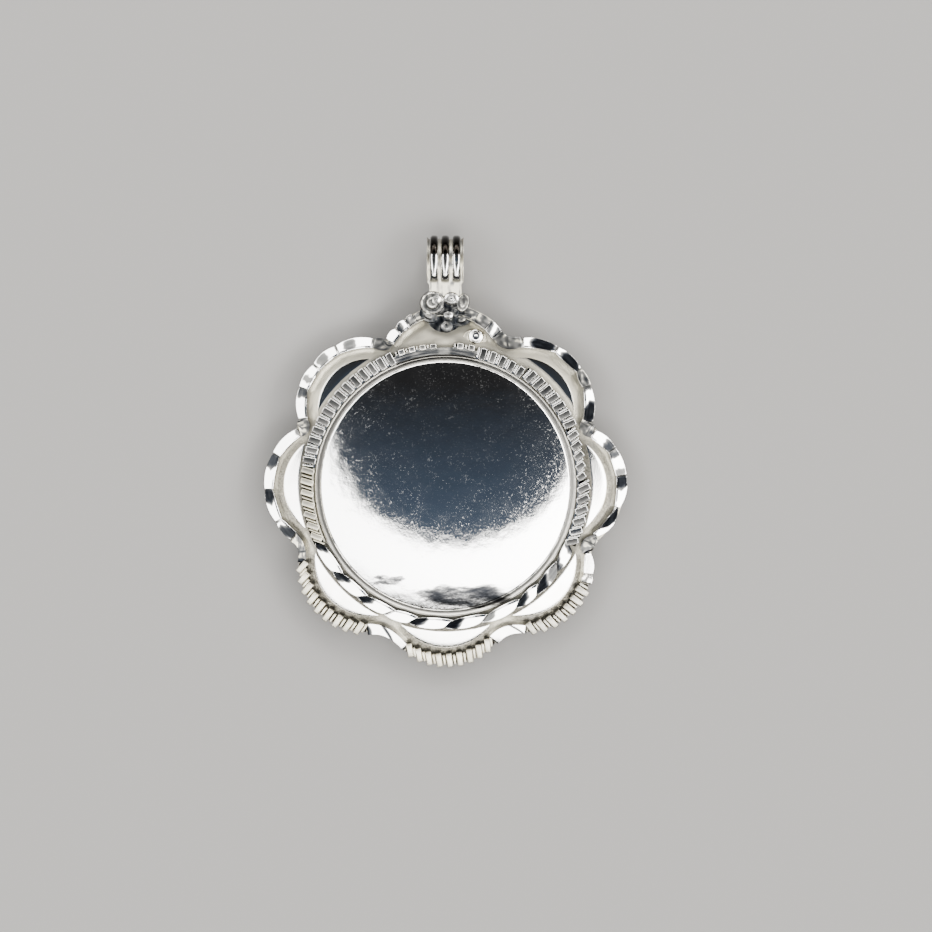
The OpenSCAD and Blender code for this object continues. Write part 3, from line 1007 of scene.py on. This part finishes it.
def makeDisc():
    rimR, domeR, lineR = disc["r"], disc["domeR"], disc["lineR"]
    sphere = (domeR ** 2 + disc["domeH"] ** 2) / (2 * disc["domeH"])
    domeFoot = disc["z"] + disc["thick"]
    rimTop = domeFoot - disc["crown"]
    centreZ = domeFoot + disc["domeH"] - sphere
    profile = [(rimR - 0.05, disc["z"]), (rimR, disc["z"] + 0.05), (rimR, rimTop - 0.1),
               (rimR - 0.03, rimTop - 0.03), (rimR - 0.1, rimTop), (lineR + 0.05, rimTop),
               (lineR, rimTop - 0.02), (lineR - 0.05, rimTop)]
    for i in range(disc["rimRows"]):
        t = i / (disc["rimRows"] - 1)
        profile.append((mix(lineR - 0.08, domeR + 0.05, t), rimTop + disc["crown"] * 4 * t * (1 - t)))
    profile.append((domeR + 0.02, rimTop + 0.01))
    for i in range(disc["domeRows"]):
        r = domeR * (1 - i / disc["domeRows"])
        profile.append((r, centreZ + math.sqrt(sphere ** 2 - r * r)))
    profile.append((0.05, centreZ + sphere))
    piece = circleRows("centre_disc_dome", disc["columns"], len(profile), closeStart=True)

    def lay(p):
        r, z = profile[round(p.z)]
        angle = math.atan2(p.y, p.x)
        spot = Vector((r * math.cos(angle), r * math.sin(angle), z))
        if r < domeR:
            uneven = noise.noise(spot * 0.35) + 0.45 * noise.noise(spot * 0.9)
            spot.z += disc["dent"] * uneven * smooth(domeR, domeR - 2, r)
        return spot

    # Painted shade: a dark line in the gap at the rim's edge, along the scored line, darker on one side, and
    # round the dome's foot, and a streaky grey on the rim, greyer on the left, dark at the top and light on
    # the right
    def discShade(p):
        r = math.hypot(p.x, p.y)
        angle = math.degrees(math.atan2(p.y, p.x)) % 360
        if r > rimR - 0.04:
            return 0.8
        if abs(r - lineR) < 0.02:
            return 0.5 if 20 < (angle + 90) % 360 < 220 else 0.3
        if r > domeR + 0.06:
            streak = 0.2 * noise.noise(Vector((angle * 0.12, r * 9, 0)))
            right = smooth(40, 10, angle) + smooth(320, 345, angle)
            grey = (0.46 + 0.18 * within(disc["greyLeft"], angle)) * (1 - 0.9 * right) + streak
            if r > disc["darkFrom"]:
                grey = mix(grey, 0.99, within(disc["darkTop"], angle) * (0.85 + streak))
            return grey
        return 0.7 if abs(r - domeR - 0.02) < 0.015 else 0.0

    shape(piece, lay)
    paint(piece, "polish", lambda p: smooth(domeR + 0.1, domeR - 0.1, math.hypot(p.x, p.y)))
    paint(piece, "soot", discShade)
    finish(piece, discSilver, "centre_disc", 40, crisp=False)


makeDisc()

# The bail: a ribbed strip that runs up the front, round the hole and down the back. Distances along
# it are measured from the middle of the loop, and its ribs end at a plain collar.
bailStrip = {
    "across": 96, "along": 150, "halfWidth": 2.38,
    "ribR": 0.55, "ribPitch": 1.47, "ribFlat": 0.42, "ribEndY": 26.6,
    "roof": 0.5, "shoulder": 1.3, "shoulderAt": 0.24,
    "lipWidth": 0.1, "lipRise": 0.2,
    "collarHalf": 2.1, "collarRise": 0.12,
    "footY": 23.1, "footHalf": 0.95,
    "solderHalf": 1.95, "solderThick": 1.9,
}


def fromRib(x):
    return min(abs(x - k * bailStrip["ribPitch"]) for k in (-1, 0, 1))


# A rib's height at this distance from its middle: a low roof with steep sides
def ribRise(off):
    flat = bailStrip["ribFlat"]
    if off >= bailStrip["ribR"]:
        return 0
    near = min(off, flat)
    roof = bailStrip["roof"] * near ** 2
    roof += bailStrip["shoulder"] * max(0, near - bailStrip["shoulderAt"]) ** 2
    side = math.sqrt(max(0, 1 - ((off - flat) / (bailStrip["ribR"] - flat)) ** 2)) if off > flat else 1
    return (bail["rib"] - 0.012 - roof) * side


def makeBail():
    r = bail["bore"] + bail["wall"]
    bailY, ribEndY, halfWidth = bail["y"], bailStrip["ribEndY"], bailStrip["halfWidth"]
    footDown = bailY - bailStrip["footY"]
    reach = math.hypot(footDown, bailStrip["footHalf"])
    lean = math.asin(r / reach) - math.atan2(bailStrip["footHalf"], footDown)
    arc = (math.pi / 2 + lean) * r

    def legLength(down):
        return (down - r * math.sin(lean)) / math.cos(lean)

    ribEnd = arc + legLength(bailY - ribEndY)
    total = arc + legLength(footDown)

    def place(p):
        s = mix(total, -total, p.y)
        side = 1 if s > 0 else -1
        along = abs(s)
        angle = min(along, arc) / r
        normal = Vector((0, math.cos(angle), math.sin(angle)))
        spot = normal * r + Vector((0, -math.cos(lean), -math.sin(lean))) * max(0, along - arc)
        plain = smooth(ribEnd - 1.0, ribEnd, along)
        half = mix(halfWidth, bailStrip["collarHalf"], smooth(ribEnd - 0.1, ribEnd + 0.2, along))
        x = mix(-half, half, p.x)
        lip = bailStrip["lipRise"] * smooth(bailStrip["lipWidth"] * 2, bailStrip["lipWidth"], half - abs(x))
        spot += normal * mix(max(ribRise(fromRib(x)), lip), bailStrip["collarRise"], plain)
        return Vector((x, bailY + spot.y, bailZ + side * spot.z))

    def ribPolish(p):
        onRib = smooth(bailStrip["ribR"] + 0.04, bailStrip["ribR"] - 0.06, fromRib(p.x))
        return onRib * smooth(ribEndY + 0.1, ribEndY + 0.6, p.y)

    # Painted dark reflection: over the top of the loop, where it faces away, and at half strength on the
    # lower stretch of the ribs, above the collar
    def darkReflections(p):
        off = fromRib(p.x)
        crest = smooth(bailY + 0.85, bailY + 1.2, p.y + 1.6 * off * off)
        foot = within((ribEndY, ribEndY + 0.3, bailY - 2.1, bailY - 1.5), p.y)
        return (0.95 if off < 0.45 else 0.5 * crest) * crest + (0.5 * foot if off < 0.5 else 0)

    # Painted shade: a dark reflection down the middle of each rib in the ring, and a light mottled grey on
    # the grooves and the collar
    def grooveShade(p):
        off = fromRib(p.x)
        cloud = noise.noise(Vector((p.x * 2.5, p.y * 1.3, 11)))
        inRing = smooth(ribEndY + 0.75, ribEndY + 1.3, p.y - 6 * off)
        if off < 0.3 and p.y < bailY + 0.5:
            return (0.5 + cloud) * inRing * smooth(0.22, 0.12, off)
        return max(0, 0.075 + 0.12 * cloud) if off > 0.5 or p.y < ribEndY else 0.0

    piece = unitGrid("bail", bailStrip["across"], bailStrip["along"])
    shape(piece, place)
    paint(piece, "polish", ribPolish)
    if max(piece.data.polygons, key=lambda f: f.center.y).normal.y < 0:
        flipFaces(piece)
    thicken(piece, bail["wall"])
    shape(piece, lambda p: Vector((min(halfWidth, max(-halfWidth, p.x)), p.y, p.z)))
    bevel(piece, 0.1, 2, 60)
    paint(piece, "soot", darkReflections)
    paint(piece, "shade", grooveShade)
    finish(piece, bailSilver, angle=50, crisp=False)

    # solder fills the wedge between the legs, up to the hole
    thick = bailStrip["solderThick"]

    def fillPlace(p):
        x = mix(-bailStrip["solderHalf"], bailStrip["solderHalf"], p.y)
        z = mix(-1, 1, p.z)
        y = mix(-footDown, -math.sqrt(bail["bore"] ** 2 - (z * thick) ** 2), p.x)
        half = (r - 0.2) * math.cos(lean) - max(0, legLength(-y)) * math.sin(lean)
        return Vector((x, bailY + y, bailZ + z * min(thick, max(0.3, half))))

    fill = gridBlock("bail_solder", 24, 6)
    shape(fill, fillPlace)
    bevel(fill, 0.05, 1, 50)
    finish(fill, bailSilver)


makeBail()

# The rosette: stamped lobes close together on a base that painted shade darkens, with a spare drop of
# solder beside it. Each lobe is flat in its middle, slopes to its edge and may have a groove round it.
rosette = {"x": -0.07, "y": 22.7, "lift": 1.05, "baseR": 2.6, "baseH": 1.2, "voxel": 0.06, "melt": 3}
lobeColumns = "at half turn high flat slope groove ringAt shine"
lobes = table(
    lobeColumns,
    ((-1.62, 1.25), (1.72, 1.6), 20, 0.66, 0.25, 6, 0.3, 0.6, 0.55),
    ((-1.15, 1.6), (0.8, 0.7), 25, 0.8, 0.2, 26, 0.2, 0.05, 1.0),
    ((0.88, 1.74), (1.08, 0.92), 0, 0.68, 0.5, 26, 0.12, 0.2, 1.0),
    ((2.38, 1.25), (0.85, 1.3), -14, 0.55, 0.6, 14, 0.05, 0.5, 0.5),
    ((-2.1, -0.4), (1.4, 0.95), -25, 0.5, 0.2, 20, 0.06, 0.55, 0.45),
    ((2.25, -0.95), (1.5, 0.9), 18, 0.42, 0.2, 14, 0.22, 0.5, 0.4),
    ((0.25, -1.85), (0.95, 0.85), 10, 0.48, 0.3, 22, 0, 0.5, 0.85),
    ((0.45, -0.35), (0.72, 0.55), 0, 0.72, 0.1, 22, 0, 0.5, 1.0),
    ((1.4, 0.2), (0.9, 0.6), 60, 0.4, 0.2, 16, 0.1, 0.4, 0.3),
)
drop, dropCollar = table(
    lobeColumns,
    ((4.0, 19.55), (1.08, 1.05), 0, 0.45, 0.4, 24, 0.06, 0.1, 1.0),
    ((3.85, 19.3), (1.75, 1.3), -6, 0.16, 0.5, 8, 0, 0.5, 0.0),
)
lobeFoot = -0.4


def makeLobe(lobe, x, y, z):
    deselectAll()
    bpy.ops.mesh.primitive_uv_sphere_add(segments=40, ring_count=36, radius=1)
    part = named("lobe")
    mean = (lobe["half"][0] + lobe["half"][1]) / 2

    def place(p):
        rho = math.hypot(p.x, p.y)
        height = lobeFoot
        if p.z > 0:
            height = lobe["high"] - mean * math.tan(math.radians(lobe["slope"])) * max(0, rho - lobe["flat"])
            height -= lobe["groove"] * math.exp(-(((rho - lobe["ringAt"]) / 0.14) ** 2))
            height = mix(lobeFoot, height, smooth(1.0, 0.88, rho))
        q = Vector((p.x * lobe["half"][0], p.y * lobe["half"][1], height))
        q.rotate(Matrix.Rotation(math.radians(lobe["turn"]), 3, "Z"))
        return q + Vector((x + lobe["at"][0], y + lobe["at"][1], z))

    shape(part, place)
    return part


def fused(parts, name):
    piece = joined(parts, name)
    remesh = piece.modifiers.new("fuse", "REMESH")
    remesh.mode = "VOXEL"
    remesh.voxel_size = rosette["voxel"]
    melt = piece.modifiers.new("melt", "SMOOTH")
    melt.iterations = rosette["melt"]
    applyAll(piece)
    return piece


def makeRosette():
    middleX, middleY = rosette["x"], rosette["y"]
    base = sheetTop((0, middleY)) + rosette["lift"]
    deselectAll()
    bpy.ops.mesh.primitive_cylinder_add(
        vertices=64, radius=rosette["baseR"], depth=rosette["baseH"],
        location=(middleX, middleY, base - rosette["baseH"] / 2 + 0.08),
    )
    bpy.ops.object.transform_apply(location=True)
    parts = [named("rosette_base")]
    parts += [makeLobe(lobe, middleX, middleY, base) for lobe in lobes]
    piece = fused(parts, "rosette")

    def lobeShine(p):
        def away(lobe):
            dx = (p.x - middleX - lobe["at"][0]) / lobe["half"][0]
            dy = (p.y - middleY - lobe["at"][1]) / lobe["half"][1]
            return math.hypot(dx, dy)

        return min(lobes, key=away)["shine"]

    # Painted shade: dark low down between the lobes and on the base, darker towards the bottom, a light grey
    # on the lobes' tops, with streaks
    def lobeShade(p):
        streak = noise.noise(Vector((p.x * 2.2 + p.y, p.y * 1.1 - p.x, 3)))
        low = 1 - smooth(base + 0.1, base + 0.55, p.z)
        foot = smooth(middleY - 1.6, middleY - 2.6, p.y)
        return (0.55 + 0.45 * streak + 0.3 * foot) * low + 0.1 + 0.25 * streak

    paint(piece, "polish", lobeShine)
    paint(piece, "shade", lobeShade)
    finish(piece, rosetteSilver, angle=60, crisp=False)
    foot = sheetTop(drop["at"])
    spare = fused([makeLobe(drop, 0, 0, foot + 0.1), makeLobe(dropCollar, 0, 0, foot)], "solder_bead")
    paint(spare, "polish", lambda p: smooth(foot + 0.22, foot + 0.32, p.z))
    finish(spare, rosetteSilver, angle=60, crisp=False)


makeRosette()

# A plain pale floor, a ring of soft light round the camera and the photo's viewpoint
floorLook = {"half": 3.0, "colour": (0.23, 0.226, 0.22, 1), "rough": 0.8, "gloss": 0.1}
deselectAll()
bpy.ops.mesh.primitive_plane_add(size=2 * floorLook["half"])
floor = named("floor")
floorPaint, floorSockets = newMaterial("floor_paint")
for socketName, look in (("Base Color", "colour"), ("Roughness", "rough"), ("Specular IOR Level", "gloss")):
    feed(floorSockets[socketName], floorLook[look])
floor.data.materials.append(floorPaint)

# The room is dark but for a soft band of light all round, between two angles from its axis and
# stronger on the right. Inside the band the dark is bluish on the side away from the bail.
room = {
    "axis": (2.4, 15.0),    # how far the axis leans towards +X and +Y
    "bandFrom": (39.3, 42.3), "bandTo": (57.0, 60.5),
    "left": (9.6, 9.5, 9.3, 1), "right": (15.5, 15.2, 14.8, 1),
    "navy": (0.062, 0.088, 0.132, 1),
    "black": (0.018, 0.018, 0.019, 1),
    "low": (0.05, 0.049, 0.047, 1),
}


def makeRoom():
    world = bpy.data.worlds.new("studio")
    bpy.context.scene.world = world
    background = openTree(world)["Background"]
    where = addNode("TexCoord").outputs["Generated"]
    lean = [math.tan(math.radians(a)) for a in room["axis"]]
    along = addNode("VectorMath", operation="DOT_PRODUCT", Vector=where)
    feed(along.inputs[1], Vector((lean[0], lean[1], 1)).normalized())
    angle = calc("MULTIPLY", calc("ARCCOSINE", along.outputs["Value"]), 180 / math.pi)
    split = addNode("SeparateXYZ", Vector=where)
    dark = blendColour(remap(split.outputs["Y"], -0.3, 0.42), room["navy"], room["black"])
    band = blendColour(remap(split.outputs["X"], -0.6, 0.6), room["left"], room["right"])
    light = blendColour(remap(angle, *room["bandFrom"]), dark, band)
    feed(background.inputs["Color"], blendColour(remap(angle, *room["bandTo"]), light, room["low"]))
    feed(background.inputs["Strength"], 1.0)


makeRoom()

view = {"at": (0.00270, -0.00184, 0.3425), "lens": 100.0, "sensor": 36.0}
bpy.ops.object.camera_add(location=view["at"], rotation=(0, 0, 0))
camera = bpy.context.object
camera.data.lens = view["lens"]
camera.data.sensor_width = view["sensor"]
camera.data.clip_start = 0.01
bpy.context.scene.camera = camera
print("camera and light set")
